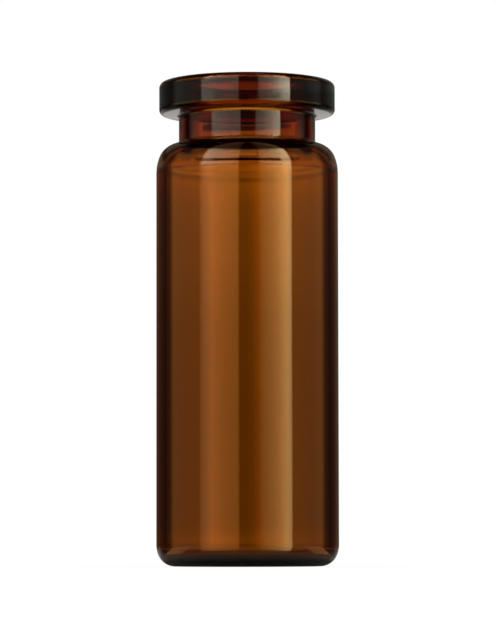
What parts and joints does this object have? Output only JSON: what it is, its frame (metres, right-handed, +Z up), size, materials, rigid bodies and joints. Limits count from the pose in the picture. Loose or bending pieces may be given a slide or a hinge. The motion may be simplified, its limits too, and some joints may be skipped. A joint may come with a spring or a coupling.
{
  "type": "glass sample vial",
  "caption": "Open amber glass sample vial with a straight tube body, rounded shoulder, short neck and a crimp flange round a plain bore.",
  "frame": {"origin": "centre of the foot, on the surface that the vial stands on", "axes": "+Z up the axis of the tube to the mouth, X and Y across it"},
  "size_m": [0.0205, 0.0204, 0.0545],
  "materials": {
    "amber_glass": "clear amber, fire-polished"
  },
  "bodies": {
    "root": {"vial": "amber_glass"}
  },
  "joints": []
}
